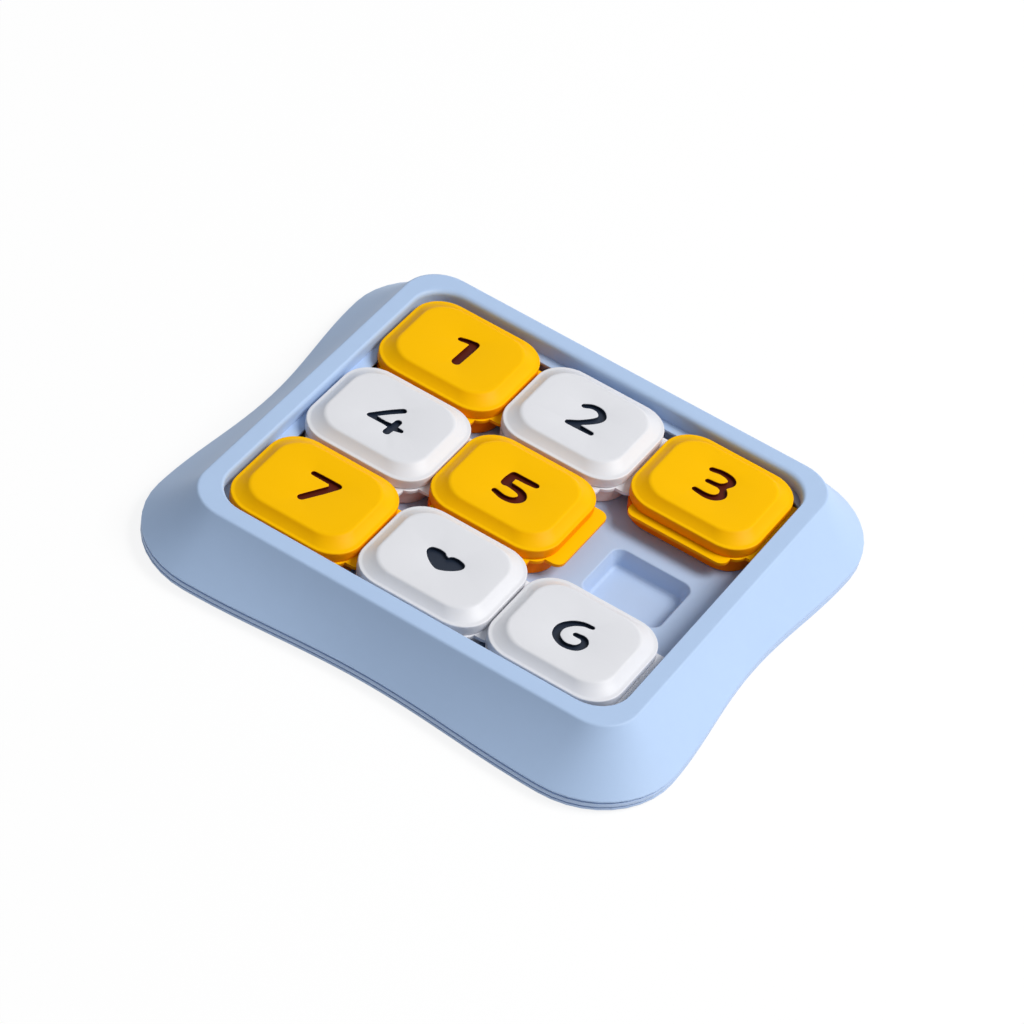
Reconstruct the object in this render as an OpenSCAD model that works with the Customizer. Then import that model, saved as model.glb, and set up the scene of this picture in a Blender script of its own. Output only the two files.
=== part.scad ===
// Sliding-tile treat puzzle for dogs: a tray with nine treat pits, a flared frame that closes
// it, and eight tiles that ride on the tray floor and hook into each other and into the frame.
// Millimetres. X runs across the tiles, Y up the tile rows, Z up. The origin is on the table,
// under the middle of the frame.

/* [Overall] */
// Height of the flat rim above the table
rim_z = 35.4; // [32:0.2:42]
// Width of the rim beside the well, in X
rim_w_x = 9.8; // [8.8:0.2:14]
// Width of the rim beside the well, in Y
rim_w_y = 10.5; // [9.5:0.5:14]
// How far the skirt spreads past the rim at mid side, in X
skirt_x = 19; // [17:0.5:26]
// How far the skirt spreads past the rim at mid side, in Y
skirt_y = 18.6; // [17:0.2:26]
// How much further the base reaches at its corners than at mid side, in X
bow_x = 6.5; // [0:0.5:9]
// The same, in Y
bow_y = 5.9; // [0:0.1:9]
// Corner radius of the base
base_r = 48; // [40:1:60]
// Corner radius of the rim's outer edge
rim_r = 21; // [18:1:30]
// Share of the skirt's flare that comes late, near the table
flare_curve = 0.3; // [0:0.05:0.6]

/* [Tile well] */
// Half width of the well inside the rim
well_hx = 115.2; // [104:0.1:128]
// Half depth of the well inside the rim
well_hy = 104.3; // [94:0.1:116]
// Corner radius of the well
well_r = 19.2; // [15:0.2:22]
// Height of the tray floor that the tiles ride on
floor_z = 15; // [14:0.5:17]
// Underside of the lip that overhangs the grooves on the +X and -Y walls
lip_z = 28.5; // [27.5:0.5:30]
// Depth of the groove under the lip on the +X wall
groove_x = 4.5; // [3.5:0.5:5]
// Depth of the groove under the lip on the -Y wall
groove_y = 4; // [3:0.5:4]

/* [Tiles] */
// Gap between two tiles of a row
tile_gap_x = 1.5; // [1:0.1:2.5]
// Gap between two tiles of a column
tile_gap_y = 2.5; // [2:0.1:3.5]
// Gap between the first column and the well's -X wall
side_gap_left = 2.25; // [1.5:0.05:3]
// Gap between the last column and the well's +X wall, with room for the tongues there
side_gap_right = 4.65; // [4:0.05:5.5]
// Gap between the end rows and the well's walls
side_gap_y = 3.7; // [3:0.1:4.5]
// Corner radius of a tile
tile_r = 17.6; // [12:0.2:20]
// Height of a cap's flat top
cap_top_z = 36.2; // [34:0.1:38]
// Height of the crest that runs round a cap
crest_z = 32.2; // [31:0.1:33]
// Width of a cap's slope from its edge to the flat top, in X
slope_x = 7.85; // [6:0.05:16]
// Width of a cap's slope from its edge to the flat top, in Y
slope_y = 7.8; // [6:0.1:14]
// Corner radius of the flat top
plateau_r = 15; // [8:0.5:16]

/* [Tongues and slots] */
// Underside of every tongue
tongue_z = 24.4; // [24:0.1:25]
// Thickness of a tongue
tongue_t = 1.8; // [1.4:0.1:2]
// Reach of a tile's tongue past its +X side
tongue_x = 6.6; // [5:0.1:6.8]
// Reach of a tile's tongue past its -Y side
tongue_y = 4.7; // [4:0.1:5]
// Length of the +X tongue
tongue_x_len = 49; // [40:1:50]
// Length of the -Y tongue
tongue_y_len = 58; // [40:1:60]
// Corner radius of the tongues
tongue_r = 5; // [3:0.5:6]
// Running clearance above and below a tongue in its slot
slot_gap = 0.4; // [0.3:0.05:0.6]
// Depth of a tile's slots, from its side
slot_depth = 7.5; // [7:0.1:9]
// Reach of the frame's own tongue from its -X wall
frame_tongue_x = 6.6; // [5:0.1:7]
// Reach of the frame's own tongue from its +Y wall
frame_tongue_y = 6; // [5:0.1:7]

/* [Treat pits] */
// Half width of a pit's mouth
pit_hx = 22.4; // [18:0.2:24]
// Half depth of a pit's mouth
pit_hy = 19.25; // [16:0.25:21]
// Corner radius of a pit's mouth
pit_r = 6; // [5:0.5:8]
// Depth of a pit
pit_depth = 10; // [8:0.5:10]
// How much a pit narrows on each side from mouth to floor
pit_draft = 2.5; // [1:0.5:3]

/* [Shell] */
// Wall thickness of the frame and the tray
wall = 2.4; // [2:0.1:3]
// Wall thickness of the tile mouldings
tile_wall = 2; // [1.6:0.1:2.4]
// Height of the band round the foot of the tray
band_top_z = 6.8; // [6:0.2:7]
// Height of the joint between tray and frame
joint_z = 8.6; // [8.4:0.1:9]
// Depth of the two fine grooves beside the bead on that joint
joint_groove = 1; // [0.5:0.1:1.2]

/* [Screws and feet] */
// Radius of a frame screw's shank
screw_r = 1.5; // [1.3:0.1:1.8]
// Clearance between a peg or a shank and its hole
peg_gap = 0.05; // [0.03:0.01:0.08]
// Radius of a rubber foot
foot_r = 9; // [7:0.5:10]
// Distance of a foot's middle from the base's edges
foot_inset = 18.5; // [18:0.5:20]
// Gap between the table and the band
ground_gap = 1; // [0.5:0.1:1.5]

/* [Hidden] */
$fn = 48;
EPS = 0.01;
QUARTER = 90;
SIDE_STEPS = 5;
ARC_STEPS = 8;
CORNER_STEPS = 5;
SKIRT_LEVELS = 6;
RIM_ROUND = 1;
RIM_PLATE = 2.6;
TILE_COLOURS = ["#ffc400", "#f2f2f4"];

// The eight tiles: name, column, row, colour, and how far each has been left off its cell's middle
TILES = [
    ["tile_1", 0, 2, 0, [0, 0]],
    ["tile_2", 1, 2, 1, [0, 0]],
    ["tile_3", 2, 2, 0, [1, 0.9]],
    ["tile_4", 0, 1, 1, [0, 0]],
    ["tile_5", 1, 1, 0, [-0.7, 0]],
    ["tile_7", 0, 0, 0, [0, 0]],
    ["tile_heart", 1, 0, 1, [0, 0]],
    ["tile_6", 2, 0, 1, [0, 0]]
];
TILE_PIECES = ["cap", "slide_plate", "base", "pegs"];
COLUMNS = 3;
ROWS = 3;
CELLS = [for (row = [0:ROWS - 1], column = [0:COLUMNS - 1]) [column, row]];

// The rim and the base follow from the well
rim_hx = well_hx + rim_w_x;
rim_hy = well_hy + rim_w_y;
base_hx = rim_hx + skirt_x;
base_hy = rim_hy + skirt_y;

// The tiles share what the gaps leave of the well
tile_hx = (2 * well_hx - side_gap_left - side_gap_right - (COLUMNS - 1) * tile_gap_x) / (2 * COLUMNS);
tile_hy = (2 * well_hy - 2 * side_gap_y - (ROWS - 1) * tile_gap_y) / (2 * ROWS);
pitch_x = 2 * tile_hx + tile_gap_x;
pitch_y = 2 * tile_hy + tile_gap_y;
grid_shift = (side_gap_left - side_gap_right) / 2;
plateau_hx = tile_hx - slope_x;
plateau_hy = tile_hy - slope_y;

// Feet: left and right is X, front and back is Y
foot_x = base_hx - foot_inset;
foot_y = base_hy - foot_inset;
foot_seat_z = 3;
foot_cup_z = 1.8;
foot_cup_wall = 2;
foot_clearance = 0.2;
FEET = [
    ["foot_front_left", [-foot_x, -foot_y]],
    ["foot_front_right", [foot_x, -foot_y]],
    ["foot_back_left", [-foot_x, foot_y]],
    ["foot_back_right", [foot_x, foot_y]]
];

// Tray levels and its inner step
flange_z = 5;
flange_t = 2;
flange_top_z = flange_z + flange_t;
floor_t = 2;
step_margin = 0.9;
step_hx = well_hx + groove_x + wall + step_margin;
step_hy = well_hy + groove_y + wall + step_margin;
step_r = 22;
rib_t = 1.6;
rib_z = 6;
flange_inset = 1.2;
step_overlap = 1;

// The bead that shows between two fine grooves on the joint
bead_z = [7.4, 8];
bead_inset = 0.2;
spigot_t = 2.2;

// Screws
screw_past_rim = 4;
screw_x = rim_hx + screw_past_rim;
screw_y = rim_hy + screw_past_rim;
screw_across = 42;
screw_head_r = 3;
screw_head_h = 1.9;
screw_len = 9;
screw_hole_r = screw_r + 0.2;
boss_r = 3.6;
boss_top_z = 18;
boss_rib_t = 2;
SCREWS = concat(
    [for (sx = [-1, 1], sy = [-1, 1]) [sx * screw_x, sy * screw_across]],
    [for (sx = [-1, 1], sy = [-1, 1]) [sx * screw_across, sy * screw_y]]
);

// Tile levels: the slide plate lies between the base and the cap, a slot gap clear of each
plate_top_z = tongue_z + tongue_t;
base_top_z = tongue_z - slot_gap;
cap_bottom_z = plate_top_z + slot_gap;
cap_roof_t = 2.4;
crest_w = 1.4;
crest_edge = 0.6;
crest_drop = 0.4;
plateau_edge = 1;
plateau_drop = 0.3;
SLOPE_STEPS = 5;
post_x = 18;
post_y = 12;
post_r = 3.5;
peg_r = 2;
peg_len = 5;
vent_hx = 12;
vent_hy = 14;
vent_r = 4;
slot_vent_hx = 9;
slot_vent_hy = 0.4;
slot_vent_pitch = 7;
core_r = 8;
peg_room = 0.5;
POSTS = [for (sx = [-1, 1], sy = [-1, 1]) [sx * post_x, sy * post_y]];

function mix(a, b, s) = a + (b - a) * s;
function bow(s) = (1 - cos(2 * QUARTER * s)) / 2;
function flare(u) = (1 - flare_curve) * u + flare_curve * u * u;
function cell_middle(column, row) = [grid_shift + (column - 1) * pitch_x, (row - 1) * pitch_y];

// A quarter of a bowed outline, from the middle of the +X side to the middle of the +Y side
function bowed_quarter(hx, hy, bx, by, r) =
    let (xc = hx + bx - r, yc = hy + by - r)
    concat(
        [for (i = [0:SIDE_STEPS - 1]) let (s = i / SIDE_STEPS) [hx + bx * bow(s), yc * s]],
        [for (i = [0:ARC_STEPS]) let (t = QUARTER * i / ARC_STEPS) [xc + r * cos(t), yc + r * sin(t)]],
        [for (i = [SIDE_STEPS - 1:-1:0]) let (s = i / SIDE_STEPS) [xc * s, hy + by * bow(s)]]
    );

// The four quarters of an outline, made from the one in the +X +Y corner
function four_quarters(q) =
    let (last = len(q) - 1)
    concat(
        q,
        [for (i = [last - 1:-1:0]) [-q[i].x, q[i].y]],
        [for (i = [1:last]) [-q[i].x, -q[i].y]],
        [for (i = [last - 1:-1:1]) [q[i].x, -q[i].y]]
    );

// Outline of the frame and tray at flare f: 0 is the rim and 1 is the base
function body_outline(f, inset) = four_quarters(bowed_quarter(
    mix(rim_hx, base_hx, f) - inset, mix(rim_hy, base_hy, f) - inset,
    bow_x * f, bow_y * f, mix(rim_r, base_r, f) - inset));

// Outline of a rounded rectangle, anticlockwise
function round_outline(hx, hy, r) = [
    for (k = [0:3], i = [0:CORNER_STEPS])
        let (
            t = QUARTER * (k + i / CORNER_STEPS),
            sx = (k == 0 || k == 3) ? 1 : -1,
            sy = k < 2 ? 1 : -1
        )
        [sx * (hx - r) + r * cos(t), sy * (hy - r) + r * sin(t)]
];

function at_height(outline, z) = [for (p = outline) [p.x, p.y, z]];

// Height of the skirt's surface as a share of the way down from the rim to the joint
function down_share(z) = min(1, (rim_z - z) / (rim_z - joint_z));
function skirt_ring(z, inset) = at_height(body_outline(flare(down_share(z)), inset), z);

function ring_middle(ring) = [for (axis = [0:2]) (min([for (p = ring) p[axis]]) + max([for (p = ring) p[axis]])) / 2];

// Solid through a stack of rings with the same number of points, lowest first; its two ends are
// fans of triangles about their middles
module loft(rings) {
    n = len(rings[0]);
    m = len(rings);
    low_end = n * m;
    high_end = low_end + 1;
    top = low_end - n;
    polyhedron(
        points = concat([for (ring = rings) each ring], [ring_middle(rings[0]), ring_middle(rings[m - 1])]),
        faces = [
            for (i = [0:n - 1])
                let (j = (i + 1) % n)
                each concat(
                    [[low_end, i, j], [high_end, top + j, top + i]],
                    [for (k = [0:m - 2]) each [
                        [k * n + i, k * n + i + n, k * n + j + n],
                        [k * n + i, k * n + j + n, k * n + j]
                    ]])
        ]
    );
}

// Flat rounded rectangle between two corners
module plan(low, high, r) {
    translate([low.x, low.y + r]) square([high.x - low.x, high.y - low.y - 2 * r]);
    translate([low.x + r, low.y]) square([high.x - low.x - 2 * r, high.y - low.y]);
    for (x = [low.x + r, high.x - r], y = [low.y + r, high.y - r])
        translate([x, y]) circle(r);
}

module slab(z0, z1) {
    translate([0, 0, z0]) linear_extrude(z1 - z0) children();
}

// The well below the lip, widened by the two grooves; grow adds the wall
module lower_well(grow) {
    plan([-well_hx - grow, -well_hy - groove_y - grow],
        [well_hx + groove_x + grow, well_hy + grow], well_r + grow);
}

module skirt_shell() {
    levels = [for (k = [0:SKIRT_LEVELS]) mix(joint_z, rim_z - RIM_ROUND, k / SKIRT_LEVELS)];
    hollow = [for (k = [0:SKIRT_LEVELS]) mix(joint_z, rim_z - RIM_PLATE, k / SKIRT_LEVELS)];
    difference() {
        loft(concat([for (z = levels) skirt_ring(z, 0)], [skirt_ring(rim_z, RIM_ROUND)]));
        loft(concat([at_height(body_outline(1, wall), joint_z - 1)],
            [for (z = hollow) skirt_ring(z, wall)]));
    }
}

module boss_ribs() {
    for (p = SCREWS) {
        along_x = abs(p.x) > abs(p.y);
        size = along_x ? [screw_x - well_hx, boss_rib_t] : [boss_rib_t, screw_y - well_hy];
        inward = along_x ? [-sign(p.x) * size.x / 2, 0] : [0, -sign(p.y) * size.y / 2];
        translate(p + inward) square(size, center = true);
    }
}

module frame_tongues() {
    slab(tongue_z, plate_top_z) intersection() {
        plan([-well_hx - EPS, -well_hy], [well_hx, well_hy + EPS], well_r);
        union() {
            translate([-well_hx - 1, -well_hy]) square([frame_tongue_x + 1, 2 * well_hy + 1]);
            translate([-well_hx, well_hy - frame_tongue_y]) square([2 * well_hx, frame_tongue_y + 1]);
        }
    }
}

module top_frame() color("#b8c8e6") {
    difference() {
        union() {
            skirt_shell();
            slab(floor_z, rim_z - RIM_PLATE / 2) lower_well(wall);
            slab(floor_z + EPS, boss_top_z) boss_ribs();
            slab(flange_top_z, boss_top_z) for (p = SCREWS) translate(p) circle(boss_r);
        }
        slab(lip_z - EPS, rim_z + 1) plan([-well_hx, -well_hy], [well_hx, well_hy], well_r);
        slab(floor_z - 1, lip_z) lower_well(0);
        slab(flange_top_z - 1, boss_top_z - 2) for (p = SCREWS) translate(p) circle(screw_r + peg_gap);
    }
    frame_tongues();
}

module body_slab(z0, z1, inset) {
    slab(z0, z1) polygon(body_outline(1, inset));
}

// Ring that follows the base outline
module body_ring(z0, z1, inset, thickness) {
    difference() {
        body_slab(z0, z1, inset);
        body_slab(z0 - EPS, z1 + EPS, inset + thickness);
    }
}

module pit_loft(z0, z1, grow) {
    for (cell = CELLS)
        translate(cell_middle(cell.x, cell.y))
            loft([
                at_height(round_outline(pit_hx - pit_draft + grow, pit_hy - pit_draft + grow,
                    pit_r - pit_draft + grow), z0),
                at_height(round_outline(pit_hx + grow, pit_hy + grow, pit_r + grow), z1)
            ]);
}

module tray_ribs() {
    slab(rib_z, floor_z - EPS) {
        for (s = [-0.5, 0.5]) {
            translate([grid_shift + s * pitch_x, 0]) square([rib_t, 2 * step_hy - 1], center = true);
            translate([0, s * pitch_y]) square([2 * step_hx - 1, rib_t], center = true);
        }
    }
}

module bottom_tray() color("#c3cfe8") {
    difference() {
        union() {
            body_ring(ground_gap, band_top_z, 0, wall);
            body_ring(band_top_z - EPS, joint_z, joint_groove, spigot_t);
            body_ring(bead_z[0], bead_z[1], bead_inset, wall);
            difference() {
                body_slab(flange_z, flange_top_z, flange_inset);
                slab(flange_z - 1, flange_top_z + 1) plan([step_overlap - step_hx, step_overlap - step_hy],
                    [step_hx - step_overlap, step_hy - step_overlap], step_r - step_overlap);
            }
            difference() {
                slab(flange_z, floor_z) plan([-step_hx, -step_hy], [step_hx, step_hy], step_r);
                slab(flange_z - 1, floor_z - floor_t)
                    plan([wall - step_hx, wall - step_hy], [step_hx - wall, step_hy - wall], step_r - wall);
            }
            tray_ribs();
            pit_loft(floor_z - pit_depth - floor_t, floor_z - EPS, floor_t);
            for (foot = FEET) translate(foot[1])
                slab(foot_cup_z, flange_z + EPS) circle(foot_r + foot_clearance + foot_cup_wall);
        }
        pit_loft(floor_z - pit_depth, floor_z + EPS, 0);
        for (foot = FEET) translate(foot[1])
            slab(0, foot_seat_z) circle(foot_r + foot_clearance);
        for (p = SCREWS) translate(p)
            slab(0, floor_z) circle(screw_hole_r);
    }
}

module frame_screws() color("#9a9da3") {
    for (p = SCREWS) translate(p) {
        slab(flange_z - screw_head_h, flange_z) circle(screw_head_r);
        slab(flange_z - EPS, flange_z + screw_len) circle(screw_r);
    }
}

module rubber_foot(at) color("#8d97ab") {
    translate(at) slab(0, foot_seat_z) circle(foot_r);
}

module tile_cap() {
    slope = [
        for (k = [0:SLOPE_STEPS])
            let (s = k / SLOPE_STEPS, rise = 1 - cos(QUARTER * s))
            at_height(
                round_outline(mix(tile_hx - crest_w, plateau_hx, s), mix(tile_hy - crest_w, plateau_hy, s),
                    mix(tile_r - crest_w, plateau_r, s)),
                mix(crest_z - crest_drop, cap_top_z - plateau_drop, rise))
    ];
    flat_top = at_height(round_outline(plateau_hx - plateau_edge, plateau_hy - plateau_edge,
        plateau_r - plateau_edge), cap_top_z);
    difference() {
        loft(concat([
            at_height(round_outline(tile_hx, tile_hy, tile_r), cap_bottom_z),
            at_height(round_outline(tile_hx, tile_hy, tile_r), crest_z - crest_drop),
            at_height(round_outline(tile_hx - crest_edge, tile_hy - crest_edge, tile_r - crest_edge), crest_z)
        ], slope, [flat_top]));
        loft([
            at_height(round_outline(tile_hx - tile_wall, tile_hy - tile_wall, tile_r - tile_wall),
                cap_bottom_z - 1),
            at_height(round_outline(tile_hx - tile_wall, tile_hy - tile_wall, tile_r - tile_wall),
                crest_z - cap_roof_t),
            at_height(round_outline(plateau_hx, plateau_hy, plateau_r), cap_top_z - cap_roof_t)
        ]);
    }
    for (p = POSTS) translate(p) difference() {
        slab(plate_top_z, cap_top_z - cap_roof_t / 2) circle(post_r);
        slab(plate_top_z - 1, plate_top_z + peg_len + peg_room) circle(peg_r + peg_gap);
    }
}

module tile_slide_plate() {
    slab(tongue_z, plate_top_z) difference() {
        union() {
            plan([slot_depth - tile_hx, tile_wall - tile_hy], [tile_hx - tile_wall, tile_hy - slot_depth], core_r);
            plan([0, -tongue_x_len / 2], [tile_hx + tongue_x, tongue_x_len / 2], tongue_r);
            plan([-tongue_y_len / 2, -tile_hy - tongue_y], [tongue_y_len / 2, 0], tongue_r);
        }
        plan([-vent_hx, -vent_hy], [vent_hx, vent_hy], vent_r);
        for (p = POSTS) translate(p) circle(peg_r + peg_gap);
    }
}

module tile_base() {
    difference() {
        union() {
            difference() {
                slab(floor_z, base_top_z) plan([-tile_hx, -tile_hy], [tile_hx, tile_hy], tile_r);
                slab(floor_z + tile_wall, base_top_z + 1)
                    plan([tile_wall - tile_hx, tile_wall - tile_hy],
                        [tile_hx - tile_wall, tile_hy - tile_wall], tile_r - tile_wall);
            }
            for (p = POSTS) translate(p) slab(floor_z + EPS, tongue_z) circle(post_r);
        }
        for (p = POSTS) translate(p) slab(tongue_z - peg_len, tongue_z + 1) circle(peg_r + peg_gap);
        for (k = [-1:1])
            slab(floor_z - 1, floor_z + tile_wall + 1)
                plan([-slot_vent_hx, k * slot_vent_pitch - slot_vent_hy],
                    [slot_vent_hx, k * slot_vent_pitch + slot_vent_hy], slot_vent_hy - EPS);
    }
}

// Four pegs through the slide plate, each seated in a post of the base and a post of the cap
module tile_pegs() {
    for (p = POSTS) translate(p) slab(tongue_z - peg_len, plate_top_z + peg_len) circle(peg_r);
}

module tile_piece(tile, piece) {
    translate(cell_middle(tile[1], tile[2]) + tile[4]) color(TILE_COLOURS[tile[3]]) {
        if (piece == "cap") tile_cap();
        if (piece == "slide_plate") tile_slide_plate();
        if (piece == "base") tile_base();
        if (piece == "pegs") tile_pegs();
    }
}

top_frame();
bottom_tray();
frame_screws();
for (foot = FEET) rubber_foot(foot[1]);
for (tile = TILES, piece = TILE_PIECES)
    tile_piece(tile, piece);
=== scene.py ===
# %% [markdown]
# # A sliding-tile treat puzzle for dogs
# The toy is a shallow tray with nine treat pits, closed by a flared frame. Eight tiles ride on the
# tray floor, hooked into each other by flat tongues, and one cell is always empty. The solids come
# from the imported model; this script gives them the moulded edges, numbers and finishes of the real
# thing. Everything is planned in millimetres and turned to metres when a piece is finished.

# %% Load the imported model
import math

import bmesh
import bpy
from mathutils import Matrix, Vector
from mathutils.geometry import delaunay_2d_cdt, interpolate_bezier


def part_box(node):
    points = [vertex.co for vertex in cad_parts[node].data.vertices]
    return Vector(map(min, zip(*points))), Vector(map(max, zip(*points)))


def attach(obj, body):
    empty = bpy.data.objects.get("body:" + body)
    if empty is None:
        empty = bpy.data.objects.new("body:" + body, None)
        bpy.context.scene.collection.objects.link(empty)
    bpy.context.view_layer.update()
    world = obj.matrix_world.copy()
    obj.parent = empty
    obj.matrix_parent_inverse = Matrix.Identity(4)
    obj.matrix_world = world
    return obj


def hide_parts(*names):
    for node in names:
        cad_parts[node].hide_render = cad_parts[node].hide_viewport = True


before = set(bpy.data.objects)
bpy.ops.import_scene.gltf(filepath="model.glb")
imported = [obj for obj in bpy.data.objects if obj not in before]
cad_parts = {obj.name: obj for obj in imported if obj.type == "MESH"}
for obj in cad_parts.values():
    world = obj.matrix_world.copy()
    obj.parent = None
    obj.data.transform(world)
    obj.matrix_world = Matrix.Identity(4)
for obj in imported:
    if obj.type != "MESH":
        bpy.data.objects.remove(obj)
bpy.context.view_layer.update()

MM = 0.001

# %% [markdown]
# ## The camera
# A toy seen from above and from its right, through a long lens so that its sides stay nearly
# parallel. A bearing, an elevation and a roll turn the camera, and its place is given in
# millimetres, with the height counted from the rim.

# %% Place the camera
RIM_Z = 35.4
BEARING, ELEVATION, ROLL = math.radians(22.33), math.radians(42.94), math.radians(13.3)
LENS_MM = 159.2
SENSOR_MM = 36.0
CAMERA_MM = Vector((627.2, -1527.7, RIM_Z + 1520.7))


def camera_axes():
    """The camera's right, up and forward directions."""
    forward = Vector((-math.sin(BEARING) * math.cos(ELEVATION),
                      math.cos(BEARING) * math.cos(ELEVATION), -math.sin(ELEVATION)))
    level_right = Vector((math.cos(BEARING), math.sin(BEARING), 0))
    level_up = level_right.cross(forward)
    right = math.cos(ROLL) * level_right + math.sin(ROLL) * level_up
    return right, right.cross(forward), forward


right, up, forward = camera_axes()
turn = Matrix((right, up, -forward)).transposed().to_4x4()
lens = bpy.data.cameras.new("camera")
lens.lens = LENS_MM
lens.sensor_width = SENSOR_MM
camera = bpy.data.objects.new("camera", lens)
camera.matrix_world = Matrix.Translation(CAMERA_MM * MM) @ turn
bpy.context.scene.collection.objects.link(camera)
bpy.context.scene.camera = camera
print("camera at", [round(v, 4) for v in camera.location])

# %% [markdown]
# ## Finishes
# Moulded plastic is never quite even: the colour drifts a little from the gate outwards, and the
# steel of the mould leaves a fine grain that breaks up the shine. Both come from noise in the
# object's own coordinates. A small class wraps a node's socket, so that the shader maths can be
# written as ordinary sums.


# %% Wrap sockets and nodes
class Wire:
    """One value on its way through a finish. Sums on it add Math nodes."""

    def __init__(self, finish, socket):
        self.finish, self.socket = finish, socket

    def sum(self, operation, a, b):
        return self.finish.node("ShaderNodeMath", {"operation": operation}, {0: a, 1: b})["Value"]

    def __add__(self, other):
        return self.sum("ADD", self, other)

    def __radd__(self, other):
        return self.sum("ADD", other, self)

    def __sub__(self, other):
        return self.sum("SUBTRACT", self, other)

    def __mul__(self, other):
        return self.sum("MULTIPLY", self, other)


class Finish:
    """The nodes of a material or of the sky. They all come from one method."""

    def __init__(self, owner):
        self.owner = owner
        owner.use_nodes = True
        self.tree = owner.node_tree
        self.tree.nodes.clear()

    def node(self, kind, settings=None, inputs=None):
        made = self.tree.nodes.new(kind)
        for key, value in (settings or {}).items():
            setattr(made, key, value)
        for key, value in (inputs or {}).items():
            if isinstance(value, Wire):
                self.tree.links.new(value.socket, made.inputs[key])
            else:
                made.inputs[key].default_value = value
        return {socket.name: Wire(self, socket) for socket in made.outputs if socket.enabled}

    def noise(self, where, scale, detail=2.0):
        return self.node("ShaderNodeTexNoise", {"noise_dimensions": "3D"},
                         {"Vector": where, "Scale": scale, "Detail": detail})["Fac"]

    def blend(self, factor, a, b):
        return self.node("ShaderNodeMix", {"data_type": "RGBA"}, {0: factor, 6: a, 7: b})["Result"]

    def close(self, shader, output="ShaderNodeOutputMaterial"):
        self.node(output, None, {"Surface": shader})
        print("finish:", self.owner.name, "nodes:", len(self.tree.nodes))
        return self.owner


def new_finish(name):
    """An empty material, ready for its nodes."""
    return Finish(bpy.data.materials.new(name))


# %% [markdown]
# ### Satin moulded plastic
# All the blue, yellow and white parts are the same kind of plastic with a different pigment: a satin
# skin, a fine mould grain and a slow drift of colour. One recipe makes them all, so that they look
# like one family, and the dark painted shade in the numbers follows it too. The tiles' cups get
# painted shade and bounce light of their own: deep orange under the yellow tiles, and a warm tint
# under the white ones. The yellow caps also get painted shade: they turn orange where their surface
# turns away from the top.


# %% Mix the plastics
DRIFT_SCALE, CLOUD_SCALE, GRAIN_SCALE = 22.0, 160.0, 2400.0
DRIFT_SHARE = 0.6
CLOUD_ROUGHNESS, GRAIN_ROUGHNESS = 0.10, 0.08
GRAIN_DEPTH, GRAIN_STRENGTH, CLOUD_HEIGHT = 0.000012, 0.5, 0.6
PLASTIC_IOR = 1.46


def shade(colour, by):
    """A colour made lighter or darker."""
    return tuple(min(1.0, channel * by) for channel in colour) + (1.0,)


def moulded_plastic(name, colour, roughness, shine, drift=0.04, side=None):
    """Satin plastic. side is a painted shade: the darker colour blended in where the surface turns away from
    the top.
    """
    finish = new_finish(name)
    where = finish.node("ShaderNodeTexCoord")["Object"]
    slow = finish.noise(where, DRIFT_SCALE)
    grain = finish.noise(where, GRAIN_SCALE, detail=3.0)
    clouds = finish.noise(where, CLOUD_SCALE, detail=3.0)
    uneven = slow * DRIFT_SHARE + clouds * (1 - DRIFT_SHARE)
    colour_out = finish.blend(uneven, shade(colour, 1 - drift), shade(colour, 1 + drift))
    # Painted shade: the more a face turns away from the top, the more it takes the darker side colour.
    if side:
        normal = finish.node("ShaderNodeNewGeometry")["Normal"]
        upward = finish.node("ShaderNodeSeparateXYZ", None, {"Vector": normal})["Z"]
        painted_side_shade = finish.blend(uneven, shade(side, 1 - drift), shade(side, 1 + drift))
        colour_out = finish.blend(upward, painted_side_shade, colour_out)
    bump = finish.node("ShaderNodeBump", None, {
        "Strength": GRAIN_STRENGTH, "Distance": GRAIN_DEPTH, "Height": grain + clouds * CLOUD_HEIGHT})
    shader = finish.node("ShaderNodeBsdfPrincipled", None, {
        "Base Color": colour_out,
        "Roughness": roughness + (clouds - 0.5) * CLOUD_ROUGHNESS + (grain - 0.5) * GRAIN_ROUGHNESS,
        "Normal": bump["Normal"],
        "IOR": PLASTIC_IOR,
        "Specular IOR Level": shine,
    })
    return finish.close(shader["BSDF"])


FRAME_BLUE = moulded_plastic("pale_blue_skin", (0.44, 0.585, 0.83), roughness=0.46, shine=0.30)
TRAY_BLUE = moulded_plastic("tray_blue_skin", (0.455, 0.572, 0.785), roughness=0.50, shine=0.25)
# The yellow's side colour is painted shade on the faces that turn away from the top.
YELLOW = moulded_plastic("egg_yellow_skin", (1.0, 0.53, 0.0), roughness=0.38, shine=0.06, drift=0.02,
                         side=(1.0, 0.32, 0.0))
# Painted shade and warm bounce light: the yellow tiles' cups are coloured deep orange because they stand in
# their neighbours' shade.
YELLOW_CUP_SHADE = moulded_plastic("yellow_cup_painted_shade", (1.0, 0.18, 0.0), roughness=0.40, shine=0.06, drift=0.03)
WHITE = moulded_plastic("milk_white_skin", (0.765, 0.772, 0.815), roughness=0.38, shine=0.30, drift=0.015)
# Painted warm bounce light: the white tiles' cups are tinted warm, as if lit by light off the yellow tiles.
WHITE_CUP_BOUNCE = moulded_plastic("white_cup_painted_warm_bounce", (0.78, 0.70, 0.66), roughness=0.40, shine=0.30, drift=0.02)
# Painted shade: the dark colours of the numbers stand in for the shade inside numbers cut through into the
# hollow cap.
NUMBER_SHADE_ON_YELLOW = moulded_plastic("maroon_painted_hole_shade", (0.085, 0.009, 0.003), roughness=0.45, shine=0.12, drift=0.25)
NUMBER_SHADE_ON_WHITE = moulded_plastic("navy_painted_hole_shade", (0.010, 0.017, 0.034), roughness=0.40, shine=0.25, drift=0.25)

# %% [markdown]
# ### Rubber and screw steel
# The feet are matt rubber, soft enough to hold a little dust in its grain. The screws are bright
# plated steel. One fine noise drives all that varies in them: the colour between a dark and a light
# end, the roughness and the bump.


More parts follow.
